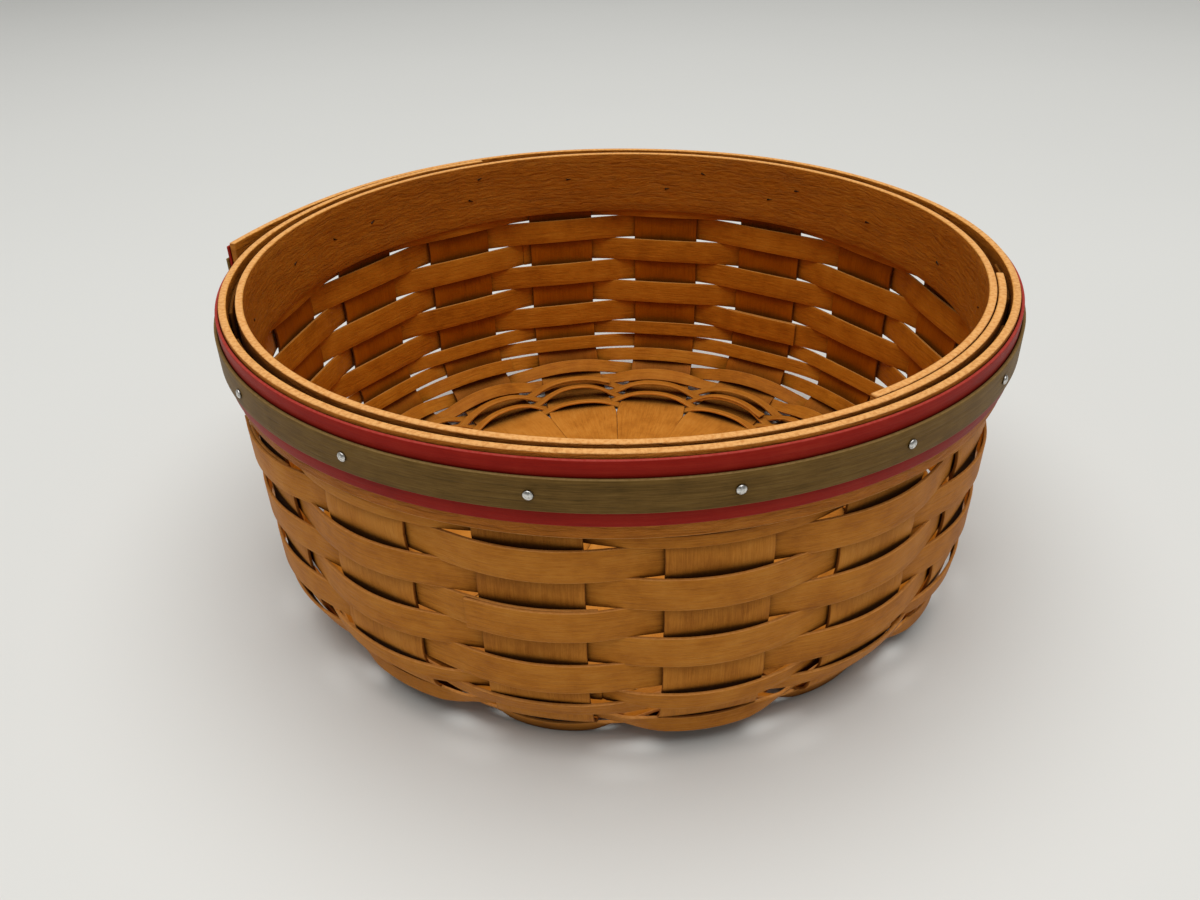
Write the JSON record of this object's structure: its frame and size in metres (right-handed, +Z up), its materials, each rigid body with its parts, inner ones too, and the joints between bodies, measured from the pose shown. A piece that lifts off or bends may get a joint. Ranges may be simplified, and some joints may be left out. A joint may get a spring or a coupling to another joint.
{
  "type": "round splint basket",
  "caption": "Round open-topped basket of woven wood splints, with bent wood rim bands and a red and a green strip tacked round the rim; it stands on its woven base.",
  "frame": {"origin": "on the surface that the basket stands on, under the middle of the outline; the axis of the basket is 4 mm to its right, because the sprung end of the outer band widens the left side", "axes": "+Z up, out of the open top; -Y is the side that faces the camera, +X is to its right"},
  "size_m": [0.2692, 0.2618, 0.108],
  "materials": {
    "splint_wood": "honey-stained maple splint, clear satin finish",
    "weaver_wood": "honey-stained maple splint, clear satin finish",
    "band_wood": "honey-stained bent wood, clear satin finish",
    "red_stain": "brick-red stained splint",
    "green_stain": "olive-green stained splint",
    "tack_steel": "bright steel tack head"
  },
  "bodies": {
    "root": {"splint_1": "splint_wood", "splint_2": "splint_wood", "splint_3": "splint_wood", "splint_4": "splint_wood", "splint_5": "splint_wood", "splint_6": "splint_wood", "splint_7": "splint_wood", "splint_8": "splint_wood", "base_weaver_1": "weaver_wood", "base_weaver_2": "weaver_wood", "base_weaver_3": "weaver_wood", "base_weaver_4": "weaver_wood", "base_weaver_5": "weaver_wood", "narrow_weaver_1": "weaver_wood", "narrow_weaver_2": "weaver_wood", "narrow_weaver_3": "weaver_wood", "narrow_weaver_4": "weaver_wood", "narrow_weaver_5": "weaver_wood", "wide_weaver_1": "weaver_wood", "wide_weaver_2": "weaver_wood", "wide_weaver_3": "weaver_wood", "wide_weaver_4": "weaver_wood", "wide_weaver_5": "weaver_wood", "top_weaver": "weaver_wood", "inner_band": "band_wood", "outer_band": "band_wood", "red_strip": "red_stain", "green_strip": "green_stain", "tack_1": "tack_steel", "tack_2": "tack_steel", "tack_3": "tack_steel", "tack_4": "tack_steel", "tack_5": "tack_steel", "tack_6": "tack_steel", "tack_7": "tack_steel", "tack_8": "tack_steel", "tack_9": "tack_steel", "tack_10": "tack_steel", "tack_11": "tack_steel", "tack_12": "tack_steel", "tack_13": "tack_steel", "tack_14": "tack_steel", "tack_15": "tack_steel", "tack_16": "tack_steel"}
  },
  "joints": []
}
